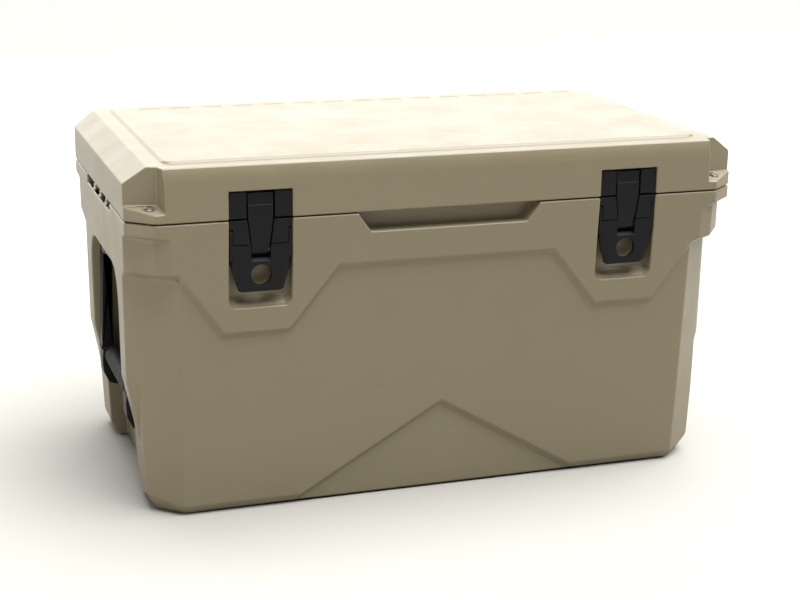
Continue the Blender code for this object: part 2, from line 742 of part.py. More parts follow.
def gasket_ring(spare, low, high):
    """The band that the gasket fills, round the tub's mouth."""
    outer = GASKET_WIDTH + 0.011 + spare
    inner = 0.011 - spare
    outside = tub_outline(outer)
    inside = tub_outline(inner)
    made = build("band", None, prism(outside, "Z", low, high),
                 cuts=[prism(inside, "Z", low - 0.01, high + 0.01)])
    mesh = made.data
    bpy.data.objects.remove(made)
    return mesh


def tub_outline(grow):
    """The tub's mouth grown outwards, as a flat outline."""
    half_x = HALF_L - END_WALL + grow
    half_y = HALF_W - SIDE_WALL + grow
    return rounded((-half_x, -half_y), (half_x, half_y), TUB_CORNER + grow, steps=3)


def lid_foam_space(name, skin, finish_name=None):
    """The foam inside the lid. With a thinner skin it is the space that the foam fills."""
    spare = SKIN - skin
    rows = [
        (GASKET_GROOVE + PARTING_GAP / 2 + skin, 0.0, 0.0),
        (LID_BEVEL, 0.0, 0.0),
        (LID_HEIGHT - skin, LID_SLOPE_X, LID_SLOPE_Y),
    ]
    rings = []
    for height, in_x, in_y in rows:
        end, back = HALF_L - 2 * skin - in_x, HALF_W - 2 * skin - in_y
        rings.append(full_ring([
            (end, back - CORNER_Y, PARTING + height),
            (end - CORNER_X / 2, back - CORNER_Y / 2, PARTING + height),
            (end - CORNER_X, back, PARTING + height),
        ]))
    cuts = [lid_pocket(side, grow=POCKET_WALL - spare) for side in SIDES.values()]
    for side in SIDES.values():
        corner = side * (HALF_L - 0.048 - skin)
        span = sorted((corner, side * (HALF_L + 0.02)))
        cuts.append(box((span[0], FRONT - 0.01, PARTING), (span[1], FRONT + 0.036 + skin, LID_TOP + 0.01)))
    cuts += hinge_barrels("body", KNUCKLE_POCKET + skin, spare=skin)
    cuts += hinge_barrels("lid", KNUCKLE_RADIUS + skin, spare=skin)
    joins = [lid_plug(grow=-skin, top=PARTING + 0.020)]
    return build(name, finish_name, loft(rings), joins=joins, cuts=cuts)


LID_FILL = (0.0, 0.060)
LOCK_SEAT = PARTING + LEDGE_HEIGHT - 0.0033


def lid():
    cavity = lid_foam_space("lid_cavity", SKIN - FIT)
    cavity_mesh = cavity.data
    bpy.data.objects.remove(cavity)
    groove = gasket_ring(FIT, RIM - 0.002, LID_UNDER + GASKET_GROOVE)
    joins = [lid_plug(), lid_panel()]
    cuts = [groove, back_bevel(below=False)]
    shell = build("lid_shell", None, loft(lid_rings()), joins=joins, cuts=cuts)
    for mesh in hinge_barrels("lid", KNUCKLE_RADIUS):
        join(shell, mesh)
    later = hinge_barrels("body", KNUCKLE_POCKET, spare=LATCH_CLEAR) + [cavity_mesh]
    for side in SIDES.values():
        later += [lid_pocket(side), lid_notch(side)]
        later.append(rod("Z", (side * LOCK_X, -LOCK_Y), LOCK_TUBE + FIT, RIM - 0.01, PARTING + 0.03, 16))
        seat = LOCK_SEAT - 0.0006 - FIT
        later.append(rod("Z", (side * LOCK_X, -LOCK_Y), LOCK_FLANGE + FIT, seat, LOCK_SEAT + 0.02, 16))
    later += latch_screw_holes(*KEEPER_SCREW) + hinge_bores() + lid_bars()
    later.append(rod("Z", LID_FILL, FILL_RADIUS + FIT, RIM - 0.03, RIM - PLUG_DEPTH + SKIN + 0.001))
    for mesh in later:
        cut(shell, mesh)
    mesh = shell.data
    bpy.data.objects.remove(shell)
    shell = piece("lid_shell", mesh, "moulded_tan")
    foam = lid_foam_space("lid_foam_core", SKIN, "foam")
    seal = piece("lid_gasket", gasket_ring(0.0, RIM + FIT, LID_UNDER + GASKET_GROOVE - FIT), "gasket")
    return [shell, foam, seal]


def lock_eyelet(name, side, seat, under):
    """A stainless liner for a padlock hole, its flange let into the plastic."""
    centre = (side * LOCK_X, -LOCK_Y)
    return build(name, "stainless",
                 rod("Z", centre, LOCK_TUBE, under, seat, 16),
                 joins=[rod("Z", centre, LOCK_FLANGE, seat - 0.0006, seat + 0.0006, 16)],
                 cuts=[rod("Z", centre, LOCK_RADIUS, under - 0.01, seat + 0.01, 16)])


# ---------------------------------------------------------------- latches
def latch_point(side, x, deep, height):
    return (side * LATCH_X + x, FRONT + deep, PARTING + height)


def latch_block(side, low, high):
    """A block in a latch's own measures: across, set in from the front, up from the parting line."""
    return box(latch_point(side, *low), latch_point(side, *high))


def latch_side(side, outline, start, end):
    """A side outline, given as set-in and height, run across the latch."""
    points = [(FRONT + deep, PARTING + height) for deep, height in outline]
    return prism(points, "X", side * LATCH_X + start, side * LATCH_X + end)


def latch_front(side, outline, start, end):
    """A front outline, given as across and height, run inwards."""
    points = [(side * LATCH_X + x, PARTING + height) for x, height in outline]
    return prism(points, "Y", FRONT + start, FRONT + end)


def latch_pin(side, pivot, radius, start, end):
    centre = (FRONT + pivot[0], PARTING + pivot[1])
    return rod("X", centre, radius, side * LATCH_X + start, side * LATCH_X + end, 16)


def latch_screw(name, side, across, height, seat):
    """A pan-head screw whose head rests on a face set in from the front."""
    centre = (side * LATCH_X + across, PARTING + height)
    start = FRONT + seat - FIT
    return build(name, "stainless",
                 rod("Y", centre, SCREW_RADIUS, start - 0.001, start + SCREW_LENGTH, 12),
                 joins=[rod("Y", centre, SCREW_HEAD, start - 0.0022, start, 12)])


FACE = 0.0022             # latch faces below flush
BACK = POCKET_SET_IN - FIT
PLATE_SEAT = 0.0165       # front of the base and keeper back plates
LEVER_FACE = 0.0025
LEVER_BACK = 0.0080
STRAP_TOP = 0.031
STRAP_HALF_TOP = 0.01575
CHANNEL_HALF = 0.017
ARM_IN = 0.0334
ARM_OUT = 0.0372


def keeper(side_name, side):
    low = PARTING_GAP / 2 + LATCH_CLEAR
    top = POCKET_RISE - 0.0012
    edge = LATCH_HALF - LATCH_CLEAR
    pieces = [build(
        f"latch_keeper_{side_name}", "black_nylon", latch_block(side, (-edge, FACE, low), (edge, BACK, top)),
        cuts=[latch_block(side, (-CHANNEL_HALF, -0.01, low - 0.01), (CHANNEL_HALF, PLATE_SEAT, top + 0.01))])]
    bar = CHANNEL_HALF + 0.002
    join(pieces[0], latch_block(side, (-bar, 0.0086, 0.018), (bar, 0.0142, 0.025)))
    for x in (-KEEPER_SCREW[1], KEEPER_SCREW[1]):
        cut(pieces[0], rod("Y", (side * LATCH_X + x, PARTING + KEEPER_SCREW[0]), SCREW_RADIUS + FIT,
                           FRONT, FRONT + 0.03, 12))
    for spot, x in (("inner", -side * KEEPER_SCREW[1]), ("outer", side * KEEPER_SCREW[1])):
        pieces.append(latch_screw(f"keeper_screw_{side_name}_{spot}", side, x, KEEPER_SCREW[0], PLATE_SEAT))
    return pieces


def base(side_name, side):
    """The latch's fixed base: a back plate with two blocks that carry the lever."""
    top = -PARTING_GAP / 2 - LATCH_CLEAR
    edge = LATCH_HALF - LATCH_CLEAR
    made = build(f"latch_base_{side_name}", "black_nylon",
                 latch_block(side, (-edge, PLATE_SEAT, -0.057), (edge, BACK, top)))
    for face in (-1, 1):
        block = [(face * 0.0162, top), (face * 0.0124, -0.030), (face * (ARM_IN - LATCH_CLEAR), -0.030),
                 (face * (ARM_IN - LATCH_CLEAR), -0.0112), (face * edge, -0.0112), (face * edge, top)]
        join(made, latch_front(side, block, FACE, PLATE_SEAT + 0.001))
        bore = sorted((face * 0.0190, face * 0.0350))
        cut(made, latch_pin(side, LEVER_PIVOT, PIN_RADIUS + FIT, *bore))
        spot = (side * LATCH_X + face * BASE_SCREW[1], PARTING + BASE_SCREW[0])
        cut(made, rod("Y", spot, SCREW_RADIUS + FIT, FRONT, FRONT + 0.03, 12))
    for spot, x in (("inner", -side * BASE_SCREW[1]), ("outer", side * BASE_SCREW[1])):
        latch_screw(f"base_screw_{side_name}_{spot}", side, x, BASE_SCREW[0], PLATE_SEAT)


def lever(side_name, side):
    """The lever plate, with its two arms, the cheeks that hold the link's pin, and the finger hole."""
    half = [(ARM_OUT, -0.031), (ARM_OUT, -0.040), (0.0345, -0.060), (0.0275, -0.0855), (0.0235, -0.088)]
    full = half + [(-x, z) for x, z in reversed(half)]
    bevel = 0.0038
    small = [(math.copysign(abs(x) - bevel, x), z + (0.0015 if z < -0.08 else 0.0)) for x, z in full]
    place = [(side * LATCH_X + x, PARTING + z) for x, z in full]
    face = [(side * LATCH_X + x, PARTING + z) for x, z in small]
    plate = loft([spread(place, "Y", FRONT + LEVER_BACK), spread(place, "Y", FRONT + 0.0055),
                  spread(face, "Y", FRONT + LEVER_FACE)])
    reach = 0.0040
    arm = [(LEVER_FACE, -0.048), (LEVER_BACK, -0.048), (LEVER_PIVOT[0] + reach, -0.020)]
    arm += [(LEVER_PIVOT[0] + reach * math.cos(a), LEVER_PIVOT[1] + reach * math.sin(a))
            for a in (math.radians(30 * i) for i in range(7))]
    cheek = [(0.0050, -0.0340), (0.0125, -0.0340), (0.0150, -0.0370), (0.0150, -0.0430), (0.0120, -0.0470),
             (0.0050, -0.0490)]
    joins = []
    for turn in (-1, 1):
        joins.append(latch_side(side, arm, *sorted((turn * ARM_IN, turn * ARM_OUT))))
        joins.append(latch_side(side, cheek, *sorted((turn * 0.0118, turn * 0.0190))))
    ramp = [(-0.01, -0.020), (0.030, -0.020), (0.030, -0.0475), (LEVER_BACK, -0.0475), (LEVER_FACE, -0.0510),
            (-0.01, -0.0510)]
    cuts = [
        latch_side(side, ramp, -0.0118, 0.0118),
        rod("Y", (side * LATCH_X, PARTING - 0.0672), 0.0124, FRONT - 0.01, FRONT + 0.02, 32),
        latch_pin(side, LINK_PIVOT, PIN_RADIUS + FIT, -0.018, 0.018),
        latch_pin(side, LEVER_PIVOT, PIN_RADIUS + FIT, -0.05, 0.05),
    ]
    made = [build(f"latch_lever_{side_name}", "black_nylon", plate, joins=joins, cuts=cuts)]
    made.append(build(f"latch_link_pin_{side_name}", "stainless",
                      latch_pin(side, LINK_PIVOT, PIN_RADIUS, -0.0178, 0.0178)))
    for spot, turn in (("inner", -side), ("outer", side)):
        span = sorted((turn * 0.0195, turn * (ARM_OUT - 0.0004)))
        made.append(build(f"latch_pivot_pin_{side_name}_{spot}", "stainless",
                          latch_pin(side, LEVER_PIVOT, PIN_RADIUS, *span)))
    return made


def link(side_name, side):
    """The draw strap, with the nose that pulls on the keeper's bar."""
    pivot = LINK_PIVOT
    eye = 0.0045
    outline = [(0.0040, STRAP_TOP), (0.0040, 0.017), (0.0030, 0.0155), (0.0030, -0.020)]
    outline += [(pivot[0] + eye * math.cos(a), pivot[1] + eye * math.sin(a))
                for a in (math.radians(180 + 30 * i) for i in range(7))]
    outline += [(0.0095, -0.024), (0.0080, -0.012), (0.0080, 0.0256), (0.0136, 0.0256), (0.0136, STRAP_TOP)]
    made = build(f"latch_link_{side_name}", "black_nylon", latch_side(side, outline, -0.02, 0.02),
                 cuts=[latch_pin(side, pivot, PIN_RADIUS + FIT, -0.03, 0.03)])
    half = [(STRAP_HALF_TOP, STRAP_TOP + 0.01), (0.0150, 0.0), (0.0112, -0.030), (0.0098, -0.050)]
    front = half + [(-x, z) for x, z in reversed(half)]
    keep(made, latch_front(side, front, -0.01, 0.03))
    mesh = made.data
    bpy.data.objects.remove(made)
    return piece(f"latch_link_{side_name}", mesh, "black_nylon")


# ---------------------------------------------------------------- handles
GRIP_Z = PIVOT_Z - HANDLE_LENGTH
GRIP_X = HALF_L - 0.024
CORNER_IN = 0.080
CORNER_OUT = 0.104
CORE_RADIUS = 0.0065


def bail(side_name, side):
    """The swinging handle: two arms, the corners and the core that the grip is moulded on."""
    arm_low = GRIP_Z + 0.011
    outline = [(PIVOT_X - 0.0065, PIVOT_Z), (PIVOT_X + 0.0061, PIVOT_Z), (HALF_L - 0.0104, GRIP_Z + 0.023),
               (HALF_L - 0.0104, arm_low - 0.004), (HALF_L - 0.0245, arm_low - 0.004), (HALF_L - 0.0250, arm_low)]
    corner = [(HALF_L - 0.0110, GRIP_Z + 0.008), (HALF_L - 0.0095, GRIP_Z - 0.007),
              (HALF_L - 0.0105, GRIP_Z - 0.024), (HALF_L - 0.0175, GRIP_Z - 0.039),
              (HALF_L - 0.0285, GRIP_Z - 0.043), (HALF_L - 0.0355, GRIP_Z - 0.037),
              (HALF_L - 0.0370, GRIP_Z - 0.022), (HALF_L - 0.0350, GRIP_Z),
              (HALF_L - 0.0250, GRIP_Z + 0.010)]
    turn = [(side * x, z) for x, z in outline]
    knob = [(side * x, z) for x, z in corner]
    made = piece(f"handle_bail_{side_name}", rod("Y", (side * GRIP_X, GRIP_Z), CORE_RADIUS, -0.087, 0.087, 16))
    for face in (-1, 1):
        join(made, prism(knob, "Y", *sorted((face * CORNER_IN, face * CORNER_OUT))))
        inner = [(x, face * ARM_INNER, z) for x, z in turn]
        outer = [(x, face * (ARM_OUTER + ARM_SPREAD * (PIVOT_Z - z) / (PIVOT_Z - arm_low)), z) for x, z in turn]
        join(made, loft([inner, outer]))
        join(made, rod("Y", (side * PIVOT_X, PIVOT_Z), BOSS_RADIUS, *sorted((face * ARM_INNER, face * ARM_OUTER))))
    cut(made, rod("Y", (side * PIVOT_X, PIVOT_Z), BOLT_RADIUS + FIT, -0.12, 0.12, 16))
    mesh = made.data
    bpy.data.objects.remove(made)
    made = piece(f"handle_bail_{side_name}", mesh, "black_nylon")
    reach = CORNER_IN - FIT
    sleeve = [(side * GRIP_X + 0.0115 * math.cos(a), GRIP_Z + 0.0135 * math.sin(a))
              for a in (2 * math.pi * i / ROUND for i in range(ROUND))]
    grip = build(f"handle_grip_{side_name}", "rubber", prism(sleeve, "Y", -reach, reach),
                 cuts=[rod("Y", (side * GRIP_X, GRIP_Z), CORE_RADIUS + FIT, -0.09, 0.09, 16)])
    for face_name, face in (("front", -1), ("rear", 1)):
        start = ARM_INNER - 0.0003
        build(f"handle_bolt_{side_name}_{face_name}", "stainless",
              rod("Y", (side * PIVOT_X, PIVOT_Z), BOLT_RADIUS, *sorted((face * start, face * (RECESS_HALF + BOLT_REACH - 0.001))),
                  16),
              joins=[rod("Y", (side * PIVOT_X, PIVOT_Z), 0.0070, *sorted((face * start, face * (start - 0.004))), 16)])
        spacer = sorted((face * SPACER_START, face * (SPACER_START + SPACER)))
        build(f"handle_spacer_{side_name}_{face_name}", "black_nylon",
              rod("Y", (side * PIVOT_X, PIVOT_Z), 0.0070, *spacer, 16),
              cuts=[rod("Y", (side * PIVOT_X, PIVOT_Z), BOLT_RADIUS + FIT, -0.12, 0.12, 16)])
    return [made, grip]


# ---------------------------------------------------------------- assembly
def assemble():
    for old in list(bpy.data.objects):
        bpy.data.objects.remove(old)
    body_shell()
    foam_space("body_foam_core", SKIN, "foam")
    feet()
    foam_low = FOOT_PROUD + FOOT_SEAT + 2 * SKIN
    fill_plug("body_fill_plug", (0.0, 0.0), FOOT_PROUD + 0.001, 0.003, foam_low - FIT)
    drain()
    for side_name, side in SIDES.items():
        lock_eyelet(f"lock_eyelet_body_{side_name}", side, RIM - 0.0008, PARTING - LIP_DEPTH + 0.0005)
    for side_name, side in SIDES.items():
        build(f"hinge_rod_{side_name}", "stainless",
              rod("X", (HINGE_Y, PARTING), ROD_RADIUS, side * HINGE_X - 0.043, side * HINGE_X + 0.043))
    lid_pieces = lid()
    fill_plug("lid_fill_plug", LID_FILL, RIM - PLUG_DEPTH + 0.0005, 0.002, RIM - PLUG_DEPTH + SKIN - FIT)
    lid_pieces.append(bpy.data.objects["lid_fill_plug"])
    for side_name, side in SIDES.items():
        eyelet = lock_eyelet(f"lock_eyelet_lid_{side_name}", side, LOCK_SEAT, LID_UNDER + 0.0002)
        lid_pieces.append(eyelet)
        lid_pieces += keeper(side_name, side)
        base(side_name, side)
        axle = hang(lever(side_name, side), f"latch_lever_axis_{side_name}",
                    latch_point(side, 0.0, *LEVER_PIVOT))
        hang([link(side_name, side)], f"latch_link_axis_{side_name}", latch_point(side, 0.0, *LINK_PIVOT),
             parent=axle)
        hang(bail(side_name, side), f"handle_axis_{side_name}", (side * PIVOT_X, 0.0, PIVOT_Z))
    hang(lid_pieces, "lid_axis", (0.0, HINGE_Y, PARTING))


assemble()
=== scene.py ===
"""Looks of the hard cooler chest: mouldings with rounded edges, real materials, a studio floor and a camera.

Units are metres unless a name says otherwise. The frame's pieces keep their shape and place.
"""
import math

import bpy
from bpy.props import FloatProperty, FloatVectorProperty, PointerProperty, StringProperty
from mathutils import Matrix, Vector


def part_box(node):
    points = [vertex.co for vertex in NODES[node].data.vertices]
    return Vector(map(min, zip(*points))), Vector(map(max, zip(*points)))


bl_info = {
    "name": "Cooler chest",
    "version": (1, 0, 0),
    "blender": (4, 5, 0),
    "location": "View3D > Sidebar > Chest",
    "description": "Finishes the mouldings, latches, handles and fittings of a hard cooler chest",
    "category": "Object",
}

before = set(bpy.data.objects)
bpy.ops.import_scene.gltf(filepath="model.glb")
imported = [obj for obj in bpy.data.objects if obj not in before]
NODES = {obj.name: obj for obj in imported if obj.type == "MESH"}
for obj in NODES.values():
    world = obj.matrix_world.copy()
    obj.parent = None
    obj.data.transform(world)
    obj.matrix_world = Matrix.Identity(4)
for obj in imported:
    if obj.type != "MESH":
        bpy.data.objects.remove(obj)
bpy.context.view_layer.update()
LOW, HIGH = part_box("body_shell")
LID_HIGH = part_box("lid_shell")[1]
MIDDLE = Vector(((LOW.x + HIGH.x) / 2, (LOW.y + HIGH.y) / 2, LID_HIGH.z / 2))
SIDES = ("left", "right")
FACES = ("front", "rear")

# widths of surface features as drawn, in mm
GRAIN_MM, PEEL_MM, RUB_MM = 1.1, 4.0, 16.0
PITS_MM, FLOW_MM = 0.7, 22.0
PEBBLE_MM, DUST_MM = 1.6, 9.0
GASKET_CELL_MM, FOAM_CELL_MM = 1.2, 1.5
TOOL_MARK_MM, PAPER_FIBRE_MM = 0.6, 3.0
RUB_STRETCH = (0.25, 1.0, 1.0)
NOISE_LOW, NOISE_HIGH = 0.3, 0.7

# edges: radii in metres, and the least angle in degrees between faces that makes an edge sharp
SHELL_ANGLE, NYLON_ANGLE, SMALL_ANGLE = 22.0, 30.0, 40.0
BAIL_RADIUS, METAL_RADIUS = 0.0014, 0.0003
WELD_WITHIN = 1e-5
FLAT_WITHIN = 1.0

# stage: places and sizes in metres, angles in degrees
FLOOR_REACH = 12.0
SILK_SPREAD, SILK_TILT, SILK_COLOUR = 70.0, (5.0, 15.0, 0.0), "F4F9FF"
SWEEP_PLACE, SWEEP_SIZE = (0.0, 3.6, 1.3), (6.0, 2.6)
SIDE_PLACE, SIDE_SIZE = (-2.8, -1.0, 0.7), (1.4, 1.2)
BACKDROP_COLOUR, ROOM_COLOUR = "FFFFFF", "FBF8F4"
SENSOR_MM = 36.0


# ---------------------------------------------------------------- colour, nodes and scale
def linear(hex_colour):
    """The linear RGBA of an sRGB hex colour."""
    parts = [int(hex_colour[i:i + 2], 16) / 255 for i in (0, 2, 4)]
    return tuple(c / 12.92 if c <= 0.04045 else ((c + 0.055) / 1.055) ** 2.4 for c in parts) + (1.0,)


def per_metre(millimetres):
    """The scale of a texture whose features are this wide, in object coordinates."""
    return 1000.0 / millimetres


def add_node(tree, kind, inputs=None, **settings):
    """A node with its attributes set, its inputs given as values or as the sockets that feed them."""
    made = tree.nodes.new(kind)
    for key, value in settings.items():
        setattr(made, key, value)
    for key, value in (inputs or {}).items():
        if isinstance(value, bpy.types.NodeSocket):
            tree.links.new(value, made.inputs[key])
        else:
            made.inputs[key].default_value = value
    return made


def new_material(name, inputs):
    """An empty material with its shader and output, and the object coordinates that its patterns use."""
    made = bpy.data.materials.new(name)
    made.use_nodes = True
    tree = made.node_tree
    tree.nodes.clear()
    shader = add_node(tree, "ShaderNodeBsdfPrincipled", inputs)
    add_node(tree, "ShaderNodeOutputMaterial", {"Surface": shader.outputs[0]})
    place = add_node(tree, "ShaderNodeTexCoord").outputs["Object"]
    return made, tree, shader, place


# ---------------------------------------------------------------- materials
def moulded_polyethylene(looks):
    """Rotationally moulded linear polyethylene: satin, with the faint orange peel that the mould's wall
    leaves, cloudy depth in the colour, and pale rub marks where things have brushed past."""
    made, tree, shader, place = new_material("rotomoulded_polyethylene", {"IOR": 1.51, "Metallic": 0.0})
    cloud = add_node(tree, "ShaderNodeTexNoise", {
        "Vector": place, "Scale": per_metre(looks.cloud_mm), "Detail": 3.0, "Roughness": 0.55})
    # the pigment powder's grain is 0.3 mm, drawn at 1.1 mm so that it shows
    grain = add_node(tree, "ShaderNodeTexNoise", {
        "Vector": place, "Scale": per_metre(GRAIN_MM), "Detail": 2.0})
    stretched = add_node(tree, "ShaderNodeMapping", {"Vector": place, "Scale": RUB_STRETCH})
    rub = add_node(tree, "ShaderNodeTexNoise", {
        "Vector": stretched.outputs[0], "Scale": per_metre(RUB_MM), "Detail": 9.0, "Roughness": 0.72})
    rubbed = add_node(tree, "ShaderNodeMapRange", {
        "Value": rub.outputs["Fac"], "From Min": 0.66, "From Max": 0.78, "To Min": 0.0, "To Max": 0.30})
    light = add_node(tree, "ShaderNodeMix", {
        "Factor": cloud.outputs["Fac"], "A": linear(looks.shade), "B": linear(looks.tan)}, data_type="RGBA")
    speck = add_node(tree, "ShaderNodeMapRange", {
        "Value": grain.outputs["Fac"], "From Min": 0.35, "From Max": 0.65, "To Min": 0.0, "To Max": 0.10})
    flecked = add_node(tree, "ShaderNodeMix", {
        "Factor": speck.outputs[0], "A": light.outputs["Result"], "B": linear(looks.fleck)}, data_type="RGBA")
    worn = add_node(tree, "ShaderNodeMix", {
        "Factor": rubbed.outputs[0], "A": flecked.outputs["Result"], "B": linear(looks.rub)}, data_type="RGBA")
    tree.links.new(worn.outputs["Result"], shader.inputs["Base Color"])
    sheen = add_node(tree, "ShaderNodeMapRange", {
        "Value": cloud.outputs["Fac"], "From Min": NOISE_LOW, "From Max": NOISE_HIGH,
        "To Min": looks.roughness - 0.04, "To Max": looks.roughness + 0.05})
    dulled = add_node(tree, "ShaderNodeMath", {0: rubbed.outputs[0], 1: 0.35, 2: sheen.outputs[0]},
                      operation="MULTIPLY_ADD")
    tree.links.new(dulled.outputs[0], shader.inputs["Roughness"])
    peel = add_node(tree, "ShaderNodeTexNoise", {"Vector": place, "Scale": per_metre(PEEL_MM), "Detail": 2.0})
    low_peel = add_node(tree, "ShaderNodeBump", {
        "Height": peel.outputs["Fac"], "Strength": 0.16, "Distance": 0.0004})
    fine_peel = add_node(tree, "ShaderNodeBump", {
        "Height": grain.outputs["Fac"], "Strength": 0.10, "Distance": 0.0002,
        "Normal": low_peel.outputs[0]})
    tree.links.new(fine_peel.outputs[0], shader.inputs["Normal"])
    return made


def moulded_nylon(looks):
    """Glass-filled nylon from a spark-eroded mould: near black, an even fine grain, a low grey sheen."""
    made, tree, shader, place = new_material("moulded_glass_nylon", {
        "IOR": 1.53, "Metallic": 0.0, "Specular IOR Level": 0.16})
    # spark erosion leaves pits of 0.1 mm, drawn at 0.7 mm so that they show
    pits = add_node(tree, "ShaderNodeTexNoise", {"Vector": place, "Scale": per_metre(PITS_MM), "Detail": 2.0})
    flow = add_node(tree, "ShaderNodeTexNoise", {"Vector": place, "Scale": per_metre(FLOW_MM), "Detail": 3.0})
    colour = add_node(tree, "ShaderNodeMix", {
        "Factor": flow.outputs["Fac"], "A": linear(looks.nylon), "B": linear(looks.nylon_sheen)},
        data_type="RGBA")
    tree.links.new(colour.outputs["Result"], shader.inputs["Base Color"])
    gloss = add_node(tree, "ShaderNodeMapRange", {
        "Value": flow.outputs["Fac"], "From Min": NOISE_LOW, "From Max": NOISE_HIGH,
        "To Min": 0.40, "To Max": 0.50})
    tree.links.new(gloss.outputs[0], shader.inputs["Roughness"])
    bump = add_node(tree, "ShaderNodeBump", {
        "Height": pits.outputs["Fac"], "Strength": 0.18, "Distance": 0.0002})
    tree.links.new(bump.outputs[0], shader.inputs["Normal"])
    return made


def moulded_rubber(looks):
    """Moulded thermoplastic rubber: a matt charcoal that grips, with a soft pebbled skin."""
    made, tree, shader, place = new_material("moulded_rubber", {
        "IOR": 1.50, "Metallic": 0.0, "Specular IOR Level": 0.16})
    pebble = add_node(tree, "ShaderNodeTexVoronoi", {"Vector": place, "Scale": per_metre(PEBBLE_MM)})
    dust = add_node(tree, "ShaderNodeTexNoise", {"Vector": place, "Scale": per_metre(DUST_MM), "Detail": 5.0})
    colour = add_node(tree, "ShaderNodeMix", {
        "Factor": dust.outputs["Fac"], "A": linear(looks.rubber), "B": linear(looks.rubber_dust)},
        data_type="RGBA")
    tree.links.new(colour.outputs["Result"], shader.inputs["Base Color"])
    gloss = add_node(tree, "ShaderNodeMapRange", {
        "Value": dust.outputs["Fac"], "From Min": NOISE_LOW, "From Max": NOISE_HIGH,
        "To Min": 0.58, "To Max": 0.72})
    tree.links.new(gloss.outputs[0], shader.inputs["Roughness"])
    bump = add_node(tree, "ShaderNodeBump", {
        "Height": pebble.outputs["Distance"], "Strength": 0.22, "Distance": 0.0003})
    tree.links.new(bump.outputs[0], shader.inputs["Normal"])
    return made


def extruded_gasket(looks):
    """Extruded foam rubber: dull dark grey, with drag lines along its length."""
    made, tree, shader, place = new_material("extruded_foam_rubber", {"IOR": 1.50, "Metallic": 0.0})
    cells = add_node(tree, "ShaderNodeTexNoise", {
        "Vector": place, "Scale": per_metre(GASKET_CELL_MM), "Detail": 3.0})
    colour = add_node(tree, "ShaderNodeMix", {
        "Factor": cells.outputs["Fac"], "A": linear(looks.gasket), "B": linear(looks.gasket_pale)},
        data_type="RGBA")
    tree.links.new(colour.outputs["Result"], shader.inputs["Base Color"])
    gloss = add_node(tree, "ShaderNodeMapRange", {
        "Value": cells.outputs["Fac"], "To Min": 0.70, "To Max": 0.90})
    tree.links.new(gloss.outputs[0], shader.inputs["Roughness"])
    bump = add_node(tree, "ShaderNodeBump", {
        "Height": cells.outputs["Fac"], "Strength": 0.3, "Distance": 0.0003})
    tree.links.new(bump.outputs[0], shader.inputs["Normal"])
    return made


def blown_foam(looks):
    """Polyurethane foam blown in place: straw-coloured, with closed cells and darker voids."""
    made, tree, shader, place = new_material("blown_polyurethane_foam", {"IOR": 1.45, "Roughness": 0.95})
    cells = add_node(tree, "ShaderNodeTexVoronoi", {"Vector": place, "Scale": per_metre(FOAM_CELL_MM)})
    spread = add_node(tree, "ShaderNodeMapRange", {
        "Value": cells.outputs["Distance"], "From Min": 0.0, "From Max": 0.7})
    colour = add_node(tree, "ShaderNodeMix", {
        "Factor": spread.outputs[0], "A": linear(looks.foam_void), "B": linear(looks.foam)}, data_type="RGBA")
    tree.links.new(colour.outputs["Result"], shader.inputs["Base Color"])
    bump = add_node(tree, "ShaderNodeBump", {
        "Height": cells.outputs["Distance"], "Strength": 0.5, "Distance": 0.0006})
    tree.links.new(bump.outputs[0], shader.inputs["Normal"])
    return made


def turned_stainless(looks):
    """Stainless steel, turned and tumbled: a grey metal with a soft highlight broken by fine scratches."""
    made, tree, shader, place = new_material("turned_stainless_steel", {"Metallic": 1.0})
    # tool marks are 0.1 mm apart, drawn at 0.6 mm so that they show
    marks = add_node(tree, "ShaderNodeTexNoise", {
        "Vector": place, "Scale": per_metre(TOOL_MARK_MM), "Detail": 4.0})
    colour = add_node(tree, "ShaderNodeMix", {
        "Factor": marks.outputs["Fac"], "A": linear(looks.steel), "B": linear(looks.steel_dull)},
        data_type="RGBA")
    tree.links.new(colour.outputs["Result"], shader.inputs["Base Color"])
    gloss = add_node(tree, "ShaderNodeMapRange", {
        "Value": marks.outputs["Fac"], "From Min": NOISE_LOW, "From Max": NOISE_HIGH,
        "To Min": 0.24, "To Max": 0.38})
    tree.links.new(gloss.outputs[0], shader.inputs["Roughness"])
    bump = add_node(tree, "ShaderNodeBump", {
        "Height": marks.outputs["Fac"], "Strength": 0.08, "Distance": 0.0001})
    tree.links.new(bump.outputs[0], shader.inputs["Normal"])
    return made


def matt_paper(looks):
    """A roll of matt studio paper: pale and even."""
    made, tree, shader, place = new_material("matt_studio_paper", {"IOR": 1.45, "Roughness": 0.9})
    fibre = add_node(tree, "ShaderNodeTexNoise", {
        "Vector": place, "Scale": per_metre(PAPER_FIBRE_MM), "Detail": 4.0})
    colour = add_node(tree, "ShaderNodeMix", {
        "Factor": fibre.outputs["Fac"], "A": linear(looks.paper), "B": linear(looks.paper_fibre)},
        data_type="RGBA")
    tree.links.new(colour.outputs["Result"], shader.inputs["Base Color"])
    return made


def wear(names, material):
    """Give nodes a finish in place of the one that they came with."""
    for name in names:
        slots = NODES[name].data.materials
        slots.clear()
        slots.append(material)


